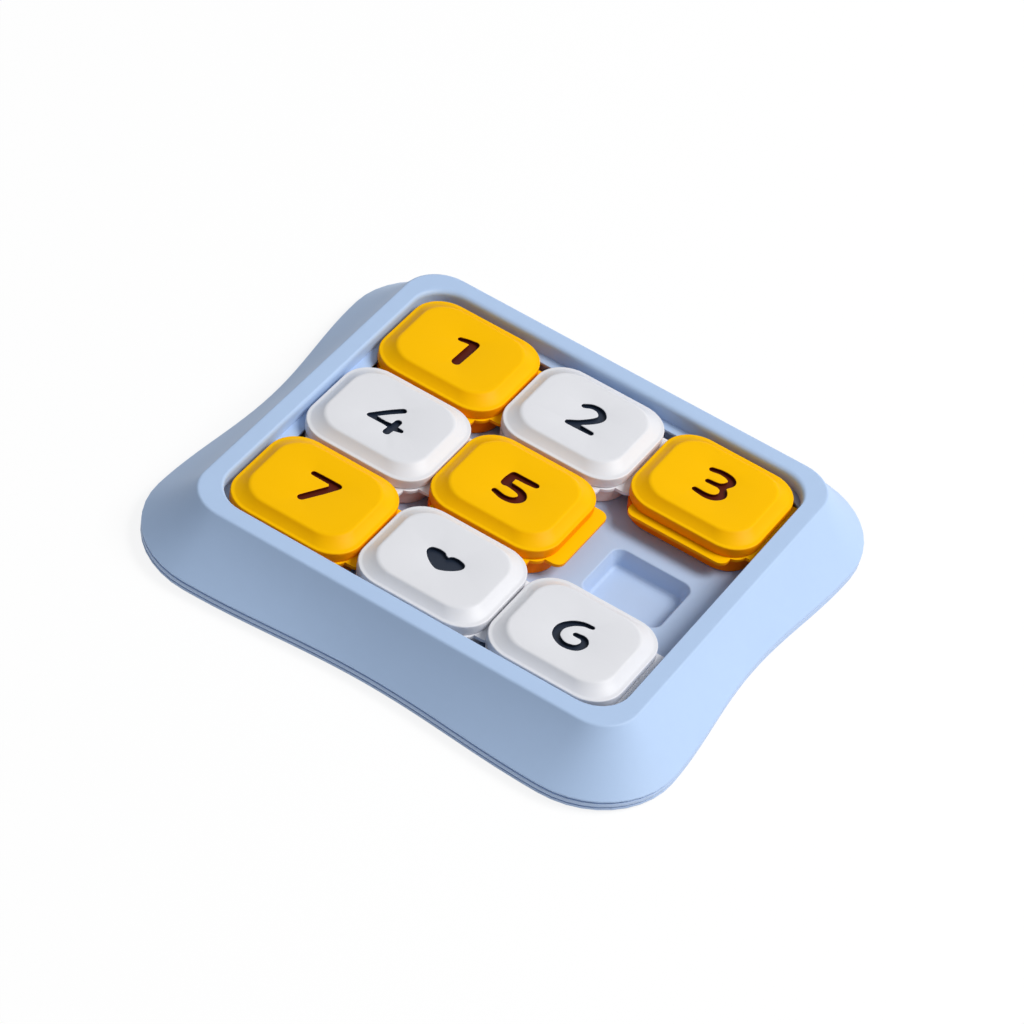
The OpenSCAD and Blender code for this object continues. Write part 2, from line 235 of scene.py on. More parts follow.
# %% Mix the rubber and the steel
def grained_skin(name, scale, strength, depth, dark, light, least_rough, rough_range, metallic=0.0):
    """A colour and a shine that follow one fine noise."""
    finish = new_finish(name)
    where = finish.node("ShaderNodeTexCoord")["Object"]
    grain = finish.noise(where, scale, detail=4.0)
    bump = finish.node("ShaderNodeBump", None, {"Strength": strength, "Distance": depth, "Height": grain})
    shader = finish.node("ShaderNodeBsdfPrincipled", None, {
        "Base Color": finish.blend(grain, shade(dark, 1), shade(light, 1)),
        "Metallic": metallic,
        "Roughness": least_rough + grain * rough_range,
        "Normal": bump["Normal"],
    })
    return finish.close(shader["BSDF"])


RUBBER = grained_skin("rubber_grain", scale=420.0, strength=0.6, depth=0.00005, dark=(0.17, 0.20, 0.26),
                      light=(0.25, 0.29, 0.36), least_rough=0.72, rough_range=0.2)
STEEL = grained_skin("plated_steel", scale=1800.0, strength=0.3, depth=0.00001, dark=(0.52, 0.53, 0.55),
                     light=(0.66, 0.67, 0.69), least_rough=0.24, rough_range=0.18, metallic=1.0)

# %% [markdown]
# ## Making shapes from rings
# Nearly every part of the toy is a rounded rectangle that changes a little from level to level. So
# each part is a stack of rings, and the bridge operator skins one ring to the next. Small extra
# rings beside each rounded edge keep the flats flat when the mesh is shaded smooth.

# %% Draw rings and skin them
CORNER_STEPS = 10
SIDE_STEPS = 12
LIFT = 2.0  # how far a ring is moved away while it is bridged
HOLD = 0.5  # from a rounded edge to the ring that keeps the flat beside it flat


def ring_edges(bm, points, z):
    """A closed ring of edges through flat points, at height z."""
    verts = [bm.verts.new((x, y, z)) for x, y in points]
    return [bm.edges.new((verts[i - 1], verts[i])) for i in range(len(verts))]


def rounded_ring(bm, middle, half, r, z, steps=CORNER_STEPS):
    """A rounded rectangle: four corner points, each bevelled to an arc."""
    face = bm.faces.new([bm.verts.new((middle[0] + sx * half[0], middle[1] + sy * half[1], z))
                         for sx, sy in ((-1, -1), (1, -1), (1, 1), (-1, 1))])
    made = bmesh.ops.bevel(bm, geom=list(face.verts), offset=r, offset_type="OFFSET", segments=steps,
                           profile=0.5, affect="VERTICES", material=-1, clamp_overlap=False)
    edges = list(made["verts"][0].link_faces[0].edges)
    bmesh.ops.delete(bm, geom=made["verts"][0].link_faces[:], context="FACES_ONLY")
    return edges


def lift(bm, edges, by):
    """Moves a ring up."""
    bmesh.ops.translate(bm, vec=(0, 0, by), verts=list({v for edge in edges for v in edge.verts}))


def skin(bm, rings, closed=False):
    """Bridges each ring to the next, and the last to the first where the section is closed. Two
    rings close to one plane give the bridge no direction, so one is moved away meanwhile."""
    pairs = list(zip(rings, rings[1:])) + ([(rings[-1], rings[0])] if closed else [])
    for a, b in pairs:
        away = LIFT if b[0].verts[0].co.z >= a[0].verts[0].co.z else -LIFT
        lift(bm, b, away)
        bmesh.ops.bridge_loops(bm, edges=a + b)
        lift(bm, b, -away)


def lid(bm, edges):
    """Closes a ring with one face."""
    bmesh.ops.contextual_create(bm, geom=edges)


def arc(centre, radius, start, end, steps=4):
    """Points of an arc in a section, as (u, z)."""
    angles = [math.radians(start + (end - start) * k / steps) for k in range(steps + 1)]
    return [(centre[0] + radius * math.cos(a), centre[1] + radius * math.sin(a)) for a in angles]


def mix(a, b, share):
    """The value that lies a share of the way from a to b."""
    return a + (b - a) * share


print("a quarter of an edge takes", len(arc((0, 0), 1, 0, 90)), "rings")

# %% [markdown]
# ### Filling flat outlines
# The tray's floor has nine holes, a number is drawn with a few fat strokes, and a slide plate is
# three overlapping slabs. In each case a constrained triangulation takes all the outlines at once.
# Its small faces go into the bmesh, sorted by where their middles lie, and from there on the
# operators shape them.


# %% Fill flat outlines
FLAT_EPSILON = 1e-5  # points this near a line lie on it


def ordered_points(edges):
    """The points of a ring in order, as (x, y)."""
    start = edges[0].verts[0]
    ring, edge, vert = set(edges), edges[0], start
    points = []
    while True:
        points.append((vert.co.x, vert.co.y))
        vert = edge.other_vert(vert)
        if vert is start:
            return points
        edge = next(e for e in vert.link_edges if e in ring and e is not edge)


def inside(point, shape):
    """Is a flat point inside a closed outline? Counts the sides crossed on the way to +X."""
    crossed = False
    for a, b in zip(shape[-1:] + shape[:-1], shape):
        if (a[1] > point.y) != (b[1] > point.y):
            crossed ^= point.x < a[0] + (b[0] - a[0]) * (point.y - a[1]) / (b[1] - a[1])
    return crossed


def fill_flat(bm, outer, shapes, z):
    """Fills the outer outlines with faces at height z. Returns those that lie in one of the shapes."""
    points, outlines = [], []
    for shape in outer + shapes:
        outlines.append(list(range(len(points), len(points) + len(shape))))
        points += [Vector(p[:2]) for p in shape]
    places, _, tris, _, _, _ = delaunay_2d_cdt(points, [], outlines, 1, FLAT_EPSILON)
    verts = [bm.verts.new((p.x, p.y, z)) for p in places]
    chosen = []
    for tri in tris:
        middle = sum((places[i] for i in tri), Vector((0, 0))) / 3
        if any(inside(middle, shape) for shape in outer):
            face = bm.faces.new([verts[i] for i in tri])
            if any(inside(middle, shape) for shape in shapes):
                chosen.append(face)
    bmesh.ops.delete(bm, geom=[v for v in verts if not v.link_faces], context="VERTS")
    return chosen


def rounded_points(low, high, r, steps=8):
    """The points of a rounded rectangle between two corners, as (x, y)."""
    centres = ((high[0] - r, high[1] - r, 0), (low[0] + r, high[1] - r, 90),
               (low[0] + r, low[1] + r, 180), (high[0] - r, low[1] + r, 270))
    return [point for x, y, start in centres for point in arc((x, y), r, start, start + 90, steps)]


print("a rounded rectangle takes", len(rounded_points((0, 0), (4, 4), 1)), "points")

# %% [markdown]
# ### Finishing a piece
# A finished piece is scaled to metres, faces outwards, is shaded smooth except at its sharp edges,
# and rides on the body it belongs to. The count of open edges is printed, because a moulding has
# none.

# %% Finish a piece
MERGE = 0.0005  # points this near each other become one
SLIVER = 0.0004  # edges this short are dissolved
SHARP_DEGREES = 38


def face_outwards(bm):
    """Recalculated faces agree with each other, but a hollow shell can come out turned as a whole."""
    bmesh.ops.recalc_face_normals(bm, faces=bm.faces)
    if bm.calc_volume(signed=True) < 0:
        bmesh.ops.reverse_faces(bm, faces=bm.faces)
    bm.normal_update()


def finish_piece(bm, name, body, nodes, finishes):
    """Makes the object, which stands in for the solids in nodes."""
    bmesh.ops.remove_doubles(bm, verts=bm.verts, dist=MERGE)
    bmesh.ops.dissolve_degenerate(bm, edges=bm.edges, dist=SLIVER)
    face_outwards(bm)
    open_edges = sum(not edge.is_manifold for edge in bm.edges)
    bmesh.ops.scale(bm, vec=(MM, MM, MM), verts=bm.verts)
    mesh = bpy.data.meshes.new(name)
    bm.to_mesh(mesh)
    bm.free()
    for finish in finishes:
        mesh.materials.append(finish)
    mesh.shade_smooth()
    mesh.set_sharp_from_angle(angle=math.radians(SHARP_DEGREES))
    piece = bpy.data.objects.new(name, mesh)
    bpy.context.scene.collection.objects.link(piece)
    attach(piece, body)
    if nodes:
        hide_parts(*nodes)
    print(name, "faces:", len(mesh.polygons), "open edges:", open_edges)


print("edges over", SHARP_DEGREES, "degrees stay sharp")

# %% [markdown]
# ## The flared frame
# The frame's outline is a rounded rectangle at the rim. On its way down it spreads, and its sides
# bow inwards between big soft corners, so the foot looks like a pincushion. A fixed number of
# points per quarter lets every level bridge cleanly to the next, from the skirt over the rim and
# down the well. Outlines are written as (half width, half depth, corner radius), here and below.

# %% Describe the frame's outline
RIM = (125.0, 114.8, 21.0)
BASE = (144.0, 133.4, 48.0)
BOW = (6.5, 5.9)  # how much further the corners reach than the sides' middles
JOINT_Z = 8.6
FLARE_CURVE = 0.3
WELL = (115.2, 104.3, 19.2)
GROOVE = (4.5, 4.0)
WALL = 2.4


def quarter(hx, hy, bx, by, r):
    """From the middle of the +X side to the middle of the +Y side. hx and hy are half sizes, bx and
    by the corner's extra reach over the sides' middles, and r is its radius."""
    cx, cy = hx + bx - r, hy + by - r
    side = [k / SIDE_STEPS for k in range(SIDE_STEPS)]
    ease = [(1 - math.cos(math.pi * s)) / 2 for s in side]
    turn = [math.pi / 2 * k / CORNER_STEPS for k in range(CORNER_STEPS + 1)]
    return ([(hx + bx * e, cy * s) for s, e in zip(side, ease)]
            + [(cx + r * math.cos(t), cy + r * math.sin(t)) for t in turn]
            + [(cx * s, hy + by * e) for s, e in reversed(list(zip(side, ease)))])


def all_round(q):
    """The whole outline, mirrored from one quarter."""
    return (q + [(-x, y) for x, y in q[-2::-1]] + [(-x, -y) for x, y in q[1:]]
            + [(x, -y) for x, y in q[-2:0:-1]])


def flare(z):
    """How far the skirt has spread at a height: 0 at the rim, 1 at the joint."""
    u = min(1.0, (RIM_Z - z) / (RIM_Z - JOINT_Z))
    return (1 - FLARE_CURVE) * u + FLARE_CURVE * u * u


def body_ring(bm, f, inset, z):
    """The frame's outline, spread by f and drawn in by inset."""
    return ring_edges(bm, all_round(quarter(
        mix(RIM[0], BASE[0], f) - inset, mix(RIM[1], BASE[1], f) - inset,
        BOW[0] * f, BOW[1] * f, mix(RIM[2], BASE[2], f) - inset)), z)


def box_ring(bm, left, right_x, front, back, radii, z):
    """A rounded rectangle with the same count of points as the bowed outline. radii runs from the
    right back corner anticlockwise."""
    points = []
    for k, r in enumerate(radii):
        sx, sy = (1, -1, -1, 1)[k], (1, 1, -1, -1)[k]
        ex, ey = (right_x if sx > 0 else left), (back if sy > 0 else front)
        mx, my = (left + right_x) / 2, (front + back) / 2
        part = quarter(abs(ex - mx), abs(ey - my), 0, 0, r)
        part = [(mx + sx * x, my + sy * y) for x, y in part]
        points += part[:-1] if k in (0, 2) else part[:0:-1]
    return ring_edges(bm, points, z)


print("points in each of the frame's outlines:", len(all_round(quarter(*RIM[:2], 0, 0, RIM[2]))))

# %% [markdown]
# ### Skinning the frame
# One section runs all the way round: up the skirt, over the rounded rim edge, across the rim, over
# the inner edge, down the well wall with its lip, groove and tongue, and back up behind the wall to
# the inside of the skirt. Bridging the last ring to the first closes it.

# %% Build the frame
LIP_Z = 28.5
FLOOR_Z = 15.0
TONGUE_Z, TONGUE_TOP = 24.4, 26.2
FRAME_TONGUE = (6.6, 6.0)
RIM_EDGE_R = 1.7
RIM_EDGE_START = 26  # the skirt's lean in degrees where it turns into the rim's round edge
SKIRT_TOP = RIM_Z - 0.56 * RIM_EDGE_R  # the height where that round edge starts
INNER_EDGE_R = 2.4
EDGE_SHARE = (0.6, 0.3, 0.3, 1.2)  # of that radius, on the -X, +X, -Y and +Y walls
RIM_UNDER_Z = 32.8
SKIRT_ROWS, INSIDE_ROWS = 22, 8
SKIRT_LOW = 7.6
FOOT_EDGE_R = 0.35
# The lip's edge, as (height over LIP_Z, share of the groove's depth)
LIP_ROWS = ((0.9, 0.0), (0.4, 0.0), (0.12, 0.06), (0.0, 0.1))
# The tongue's round edge, as (height, how far short of its full reach)
TONGUE_ROWS = ((TONGUE_TOP, 0.6), (TONGUE_TOP - 0.18, 0.18), (TONGUE_TOP - 0.6, 0.0),
               (TONGUE_Z + 0.5, 0.0), (TONGUE_Z + 0.15, 0.15), (TONGUE_Z, 0.5))


def well_ring(bm, z, out=0.0, groove=(0.0, 0.0), tongue=(0.0, 0.0), grow=0.0):
    """The well's outline. out moves each wall by its share, groove moves only +X and -Y, and tongue
    only -X and +Y."""
    hx, hy = WELL[0] + grow, WELL[1] + grow
    left, right_x, front, back = (out * share for share in EDGE_SHARE)
    r = WELL[2] + grow
    return box_ring(bm, -hx - left + tongue[0], hx + right_x + groove[0], -hy - front - groove[1],
                    hy + back - tongue[1], (r, r - max(tongue), r, r), z)


def frame_section(bm):
    """All the rings of the frame's section, in order."""
    foot_edge = arc((FOOT_EDGE_R, SKIRT_LOW + FOOT_EDGE_R), -FOOT_EDGE_R, 90, 0)
    rings = [body_ring(bm, 1.0, u, z) for u, z in foot_edge]
    for k in range(SKIRT_ROWS + 1):
        z = mix(JOINT_Z, SKIRT_TOP, k / SKIRT_ROWS)
        rings.append(body_ring(bm, flare(z), 0, z))
    centre = (RIM_EDGE_R * math.cos(math.radians(RIM_EDGE_START)), RIM_Z - RIM_EDGE_R)
    outer_edge = arc(centre, RIM_EDGE_R, 180 - RIM_EDGE_START, 90, 6)[1:]
    outer_edge.append((outer_edge[-1][0] + HOLD, RIM_Z))
    rings += [body_ring(bm, flare(SKIRT_TOP), u, z) for u, z in outer_edge]
    inner_edge = [(INNER_EDGE_R + HOLD, RIM_Z)]
    inner_edge += arc((INNER_EDGE_R, RIM_Z - INNER_EDGE_R), INNER_EDGE_R, 90, 180, 5)
    inner_edge.append((0.0, RIM_Z - INNER_EDGE_R - HOLD))
    rings += [well_ring(bm, z, out=u) for u, z in inner_edge]
    for above, share in LIP_ROWS:
        rings.append(well_ring(bm, LIP_Z + above, groove=(GROOVE[0] * share, GROOVE[1] * share)))
    for z in (LIP_Z, TONGUE_TOP):
        rings.append(well_ring(bm, z, groove=GROOVE))
    for z, short in TONGUE_ROWS:
        tongue = (FRAME_TONGUE[0] - short, FRAME_TONGUE[1] - short)
        rings.append(well_ring(bm, z, groove=GROOVE, tongue=tongue))
    for z in (TONGUE_Z, FLOOR_Z):
        rings.append(well_ring(bm, z, groove=GROOVE))
    for z in (FLOOR_Z, RIM_UNDER_Z):
        rings.append(well_ring(bm, z, groove=GROOVE, grow=WALL))
    for k in range(INSIDE_ROWS + 1):
        z = mix(RIM_UNDER_Z, SKIRT_LOW, k / INSIDE_ROWS)
        rings.append(body_ring(bm, flare(z), WALL, z))
    return rings


bm = bmesh.new()
skin(bm, frame_section(bm), closed=True)
finish_piece(bm, "flared_frame", "feeder", ["top_frame"], [FRAME_BLUE])

# %% [markdown]
# ## The tray
# The tray is one moulding: a floor with nine tapered pits, a step that the frame's wall stands on,
# and a foot band that follows the frame's outline. Between the band and the frame runs a bead with
# a fine groove on each side, which hides the joint. The section is skinned first, and the floor is
# then filled between its edge and the mouths of the pits.

# %% Build the tray
STEP = (123.0, 111.6, 22.0)
PITCH = (75.0, 67.9)
GRID_X = -1.2
PIT = (22.4, 19.25, 6.0)
PIT_DEPTH = 10.0
PIT_DRAFT = 2.5
PIT_MOUTH_R, PIT_FOOT_R = 0.9, 2.0
MOUTH_HOLD, WALL_HOLD = 0.4, 0.7  # from the round mouth to the rings that hold the flats beside it
FLOOR_T = 2.0
FLANGE_Z, FLANGE_TOP = 5.0, 7.0
SPIGOT = (3.2, 1.9)  # insets of the collar that the frame slips over
CELLS = [(column, row) for row in range(3) for column in range(3)]
# The collar's groove, the bead, the second groove and the band, as (inset, height)
BAND_ROWS = [(1.9, 6.75), (0.35, 6.75), (0.1, 6.65), (0.0, 6.4), (0.0, 4.85), (0.1, 4.6), (0.35, 4.5),
             (1.4, 4.5), (1.4, 3.75), (0.45, 3.75), (0.2, 3.65), (0.1, 3.4), (0.25, 2.6), (0.75, 1.8),
             (1.4, 1.25), (2.0, 1.0), (2.3, 1.0), (2.4, 1.15)]


def cell_middle(column, row):
    """The middle of one of the nine cells."""
    return GRID_X + (column - 1) * PITCH[0], (row - 1) * PITCH[1]


def step_ring(bm, inset, z):
    """The outline of the step under the well, drawn in by inset."""
    hx, hy, r = (size - inset for size in STEP)
    return box_ring(bm, -hx, hx, -hy, hy, (r, r, r, r), z)


def pit_rings(bm, middle, rows):
    """Rings of one pit from (how far the outline is grown, corner radius, height) rows."""
    return [rounded_ring(bm, middle, (PIT[0] + grow, PIT[1] + grow), r, z) for grow, r, z in rows]


def pit_rows():
    """The inside of a pit: a soft mouth, a drafted wall and a round foot."""
    bottom = FLOOR_Z - PIT_DEPTH
    lean = PIT_DRAFT / PIT_DEPTH
    profile = [(PIT_MOUTH_R + MOUTH_HOLD, FLOOR_Z)]
    profile += arc((PIT_MOUTH_R, FLOOR_Z - PIT_MOUTH_R), PIT_MOUTH_R, 90, 180)
    profile.append((-lean * (PIT_MOUTH_R + WALL_HOLD), FLOOR_Z - PIT_MOUTH_R - WALL_HOLD))
    foot = -lean * (PIT_DEPTH - PIT_FOOT_R) - PIT_FOOT_R
    profile += arc((foot, bottom + PIT_FOOT_R), PIT_FOOT_R, 0, -90, 6)
    profile.append((foot - HOLD, bottom))
    return [(u, PIT[2] + u, z) for u, z in profile]


def tray_section(bm):
    """From the floor's edge down the step, out over the flange and the band, and back underneath."""
    collar = [(SPIGOT[0], FLANGE_TOP), (SPIGOT[0], SKIRT_LOW), (SPIGOT[1], SKIRT_LOW)]
    rings = [step_ring(bm, 0, FLOOR_Z), step_ring(bm, 0, FLANGE_TOP)]
    rings += [body_ring(bm, 1, u, z) for u, z in collar + BAND_ROWS + [(WALL, FLANGE_Z)]]
    rings += [step_ring(bm, WALL, z) for z in (FLANGE_Z, FLOOR_Z - FLOOR_T)]
    return rings


def fill_around(bm, outer, holes, z):
    """Fills an outline and leaves its holes open."""
    bmesh.ops.delete(bm, geom=fill_flat(bm, [outer], holes, z), context="FACES")


UNDER_ROWS = [(grow, PIT[2] + grow, z - FLOOR_T)
              for grow, z in ((FLOOR_T, FLOOR_Z), (FLOOR_T - PIT_DRAFT, FLOOR_Z - PIT_DEPTH))]
bm = bmesh.new()
section = tray_section(bm)
skin(bm, section)
for rows, edge, z in ((pit_rows(), section[0], FLOOR_Z), (UNDER_ROWS, section[-1], FLOOR_Z - FLOOR_T)):
    mouths = []
    for cell in CELLS:
        pit_wall = pit_rings(bm, cell_middle(*cell), rows)
        skin(bm, pit_wall)
        lid(bm, pit_wall[-1])
        mouths.append(ordered_points(pit_wall[0]))
    fill_around(bm, ordered_points(edge), mouths, z)
finish_piece(bm, "treat_tray", "feeder", ["bottom_tray"], [TRAY_BLUE])

# %% [markdown]
# ### Ribs, foot cups and bosses
# Underneath, ribs between the pits stiffen the floor, four cups hold the feet, and the frame's
# bosses take the screws. A rib is a thin outline that widens a little on its way up, because a
# moulding without this draft would not leave its mould. The cups and bosses are turned shapes.

# %% Build the underside
RIB_T = 1.6
RIB_LOW = (6.0, 6.1)  # the two directions end at different heights, so no two faces coincide
RIB_TOP = 13.2
RIB_DRAFT, RIB_CORNER = 0.25, 0.4
# A foot's cup and, further down, a boss with its bore, as (radius, height)
CUP_ROWS = [(9.2, 5.2), (9.2, 2.0), (9.4, 1.8), (11.0, 1.8), (11.2, 2.0), (11.2, 5.2)]
FOOT = (125.5, 114.9)
SCREW_X, SCREW_Y, SCREW_ACROSS = 129.0, 118.8, 42.0
BOSS_LOW_R, BOSS_R, BORE_R = 3.6, 3.4, 1.55
BOSS_ROWS = [(BOSS_LOW_R, 7.0), (BOSS_R, 18.0), (BORE_R, 18.0), (BORE_R, 7.0)]
# The web that ties a boss to the wall of the well
WEB_HALF, WEB_BITE, WEB_LOW, WEB_TOP = 0.9, 0.3, 15.1, 17.8
WEB_DRAFT, WEB_CORNER = 0.1, 0.2
SCREWS = [(sx * SCREW_X, sy * SCREW_ACROSS) for sx in (-1, 1) for sy in (-1, 1)]
SCREWS += [(sx * SCREW_ACROSS, sy * SCREW_Y) for sx in (-1, 1) for sy in (-1, 1)]
FEET = [(name, (sx * FOOT[0], sy * FOOT[1]))
        for name, sx, sy in (("foot_front_left", -1, -1), ("foot_front_right", 1, -1),
                             ("foot_back_left", -1, 1), ("foot_back_right", 1, 1))]


def drafted_block(bm, centre, half, z0, z1, draft, corner):
    """A rib: narrower by draft at its free end z0, with rounded upright corners."""
    ends = [rounded_ring(bm, centre, (half[0] - d, half[1] - d), corner, z, 3)
            for z, d in ((z0, draft), (z1, 0.0))]
    skin(bm, ends)
    lid(bm, ends[0])
    lid(bm, ends[1])


def turned_rings(bm, centre, rows, steps=40):
    """Circles round an upright axis, from (radius, height) rows."""
    angles = [2 * math.pi * k / steps for k in range(steps)]
    return [ring_edges(bm, [(centre[0] + r * math.cos(a), centre[1] + r * math.sin(a)) for a in angles], z)
            for r, z in rows]


bm = bmesh.new()
for s in (-0.5, 0.5):
    for low, middle, half in ((RIB_LOW[0], (GRID_X + s * PITCH[0], 0), (RIB_T / 2, STEP[1] - WALL)),
                              (RIB_LOW[1], (0, s * PITCH[1]), (STEP[0] - WALL, RIB_T / 2))):
        drafted_block(bm, middle, half, low, RIB_TOP, RIB_DRAFT, RIB_CORNER)
for _, middle in FEET:
    skin(bm, turned_rings(bm, middle, CUP_ROWS), closed=True)
finish_piece(bm, "tray_ribs_and_cups", "feeder", [], [TRAY_BLUE])

bm = bmesh.new()
for x, y in SCREWS:
    skin(bm, turned_rings(bm, (x, y), BOSS_ROWS, 28), closed=True)
    along_x = abs(x) > abs(y)
    room = abs(x) - WELL[0] if along_x else abs(y) - WELL[1]
    gap = (room - BOSS_R - WALL) / 2 + WEB_BITE
    middle = ((x - math.copysign(BOSS_R + gap, x), y) if along_x
              else (x, y - math.copysign(BOSS_R + gap, y)))
    half = (gap, WEB_HALF) if along_x else (WEB_HALF, gap)
    drafted_block(bm, middle, half, WEB_LOW, WEB_TOP, WEB_DRAFT, WEB_CORNER)
finish_piece(bm, "screw_bosses", "feeder", [], [FRAME_BLUE])

# %% [markdown]
# ### Feet
# Each foot is a turned rubber pad. Two rings are sunk in the face that stands on the table, so that
# it holds on a wet floor, and the edge is broken all round. The shape is a ring section closed by
# lids.

# %% Build the feet
# From the top over the edge and both sunk rings to the middle, as (radius, height)
FOOT_ROWS = [(8.6, 3.0), (9.0, 2.8), (9.0, 0.6), (8.8, 0.2), (8.3, 0.0), (7.2, 0.0), (7.0, 0.15),
             (6.9, 0.5), (6.1, 0.5), (6.0, 0.15), (5.8, 0.0), (4.4, 0.0), (4.2, 0.15), (4.1, 0.5),
             (3.3, 0.5), (3.2, 0.15), (3.0, 0.0), (1.5, 0.0)]
for name, middle in FEET:
    bm = bmesh.new()
    rings = turned_rings(bm, middle, FOOT_ROWS)
    skin(bm, rings)
    lid(bm, rings[0])
    lid(bm, rings[-1])
    finish_piece(bm, "pad_" + name, "feeder", [name], [RUBBER])

# %% [markdown]
# ### Strokes of the numbers
# The numbers look drawn with a round brush. Each stroke is a smooth line through a few points, and
# every point is (x, y, width) from the middle of the tile, in millimetres. The third coordinate of
# the curve carries the width, so the same curve maths smooths both. The heart is drawn by one half
# of its outline.

# %% Draw the strokes
STROKES = {
    "1": [[(-4.3, 6.6, 3.6), (-0.6, 7.6, 4.1), (3.4, 8.4, 4.1)],
          [(3.7, 7.9, 5.3), (3.5, 2.5, 5.6), (3.0, -9.5, 5.5)]],
    "2": [[(-4.5, 6.9, 3.8), (-0.6, 9.2, 4.3), (4.2, 8.8, 4.7), (7.0, 5.0, 4.9), (5.2, 0.4, 4.8),
           (0.2, -5.2, 4.4), (-4.6, -8.9, 4.1)],
          [(-4.9, -9.0, 4.0), (1.0, -8.7, 4.3), (8.4, -8.7, 3.8)]],
    "3": [[(-6.6, 9.7, 4.0), (-1.0, 10.9, 4.3), (4.4, 9.8, 4.8), (6.0, 6.6, 4.8), (2.7, 2.0, 4.2),
           (-4.2, 0.9, 3.6)],
          [(1.2, 1.6, 3.6), (5.0, 0.2, 4.3), (6.7, -3.8, 5.2), (4.4, -7.6, 4.9), (0.0, -9.1, 4.6),
           (-6.4, -8.7, 3.8)]],
    "4": [[(2.6, 8.6, 4.1), (-2.0, 3.6, 4.0), (-8.8, -4.8, 3.7)], [(-9.0, -5.1, 3.6), (9.5, -4.9, 3.3)],
          [(5.1, -0.2, 4.3), (4.8, -4.5, 4.7), (4.2, -10.0, 4.5)]],
    "5": [[(7.8, 7.3, 4.3), (2.0, 7.0, 4.8), (-4.6, 6.9, 4.8)],
          [(-4.7, 6.6, 5.0), (-5.0, 2.5, 5.6), (-5.2, -0.8, 5.3)],
          [(-5.4, -0.9, 4.1), (-0.4, -0.9, 4.6), (5.2, -2.2, 5.0), (7.0, -5.6, 5.3), (4.4, -9.3, 5.0),
           (-0.6, -10.5, 4.4), (-6.4, -9.2, 3.8)]],
    "6": [[(4.9, 8.7, 3.2), (0.2, 7.8, 3.8), (-4.4, 4.6, 4.4), (-7.6, -1.0, 4.7), (-6.4, -7.0, 4.6),
           (-0.8, -10.2, 4.4), (5.2, -8.6, 4.6), (7.5, -4.0, 4.6), (5.6, -0.6, 4.2), (1.0, -0.7, 3.5)]],
    "7": [[(-6.7, 8.3, 3.8), (0.5, 8.4, 4.1), (7.6, 8.3, 4.3)],
          [(7.4, 8.0, 4.6), (3.4, 0.4, 4.8), (-2.4, -10.0, 4.6)]],
}
HEART = [(0, 2.7), (2.2, 4.9), (6.0, 5.3), (9.8, 3.9), (10.7, 0.6), (8.5, -3.0), (4.6, -6.3), (1.4, -7.9),
         (0, -8.2)]
END_STEPS = 8


def smooth_line(points, steps=7):
    """A soft curve through the points, whatever their coordinates carry."""
    knots = [Vector(p) for p in points]
    ghosts = [2 * knots[0] - knots[1]] + knots + [2 * knots[-1] - knots[-2]]
    line = []
    for a, b, c, d in zip(ghosts, ghosts[1:], ghosts[2:], ghosts[3:]):
        line += interpolate_bezier(b, b + (c - a) / 6, c - (d - b) / 6, c, steps)[:-1]
    return line + [knots[-1]]


def brush_outline(points):
    """The outline of one stroke with round ends."""
    line = smooth_line(points)
    flat = [Vector((p.x, p.y)) for p in line]
    ways = [(b - a).normalized() for a, b in zip([flat[0]] + flat[:-1], flat[1:] + [flat[-1]])]
    sides = [Vector((-w.y, w.x)) * p.z / 2 for w, p in zip(ways, line)]

    def cap(middle, side):
        turn = [Matrix.Rotation(-math.pi * k / END_STEPS, 2) for k in range(1, END_STEPS)]
        return [middle + rotation @ side for rotation in turn]

    return ([p + s for p, s in zip(flat, sides)] + cap(flat[-1], sides[-1])
            + [p - s for p, s in reversed(list(zip(flat, sides)))] + cap(flat[0], -sides[0]))


def number_shapes(sign, middle):
    """The outlines of a number or the heart, set out round a tile's middle."""
    if sign == "heart":
        half = [Vector((x, y, 0)) for x, y in HEART]
        side = smooth_line(half, 6)
        shapes = [side + [Vector((-p.x, p.y, 0)) for p in side[-2:0:-1]]]
    else:
        shapes = [brush_outline(stroke) for stroke in STROKES[sign]]
    return [[(middle[0] + p[0], middle[1] + p[1]) for p in shape] for shape in shapes]


print("strokes:", {sign: len(strokes) for sign, strokes in STROKES.items()})

# %% [markdown]
# ## The tiles
# A tile is a cap over a slide plate over a base. The cap has a fine crest round its edge, then a
# hollow slope up to a flat top where the number is sunk. The crest and the slope are two ways to
# shrink the same outline: the crest shrinks it evenly, and the slope blends it into the outline of
# the top.

# %% Shape a cap
TILE = (36.75, 32.7, 17.6)
PLATEAU = (28.9, 24.9, 15.0)
CAP_TOP = 36.2
CAP_LOW = 26.6
CREST_Z = 32.2
CREST_R = 0.7
CREST_IN = 1.8
SLOPE_IN = 7.7
TILT_LOW, TILT_HIGH = 28, 44
TOP_EDGE_R = 2.4
CAP_FOOT_ROWS = [(0.3, 0.0), (0.08, 0.1), (0.0, 0.4)]  # inset, height over CAP_LOW
CAP_WALL_TOP = CREST_Z - 1.3
# The hollow under the cap, as (inset, height)
CAP_INSIDE = [(2.0, CAP_LOW), (2.0, 29.6), (SLOPE_IN, 33.8)]
NUMBER_DEPTH = 1.9
NUMBER_EDGE, NUMBER_EDGE_STEPS = 0.3, 4
NUMBER_STEP = 0.28  # shorter sides of a number's outline are merged


def cap_ring(bm, middle, u, z):
    """The cap's outline, drawn in by u."""
    if u <= CREST_IN:
        hx, hy, r = (size - u for size in TILE)
    else:
        share = (u - CREST_IN) / (SLOPE_IN - CREST_IN)
        hx, hy, r = (mix(size - CREST_IN, flat, share) for size, flat in zip(TILE, PLATEAU))
    return rounded_ring(bm, middle, (hx, hy), r, z)


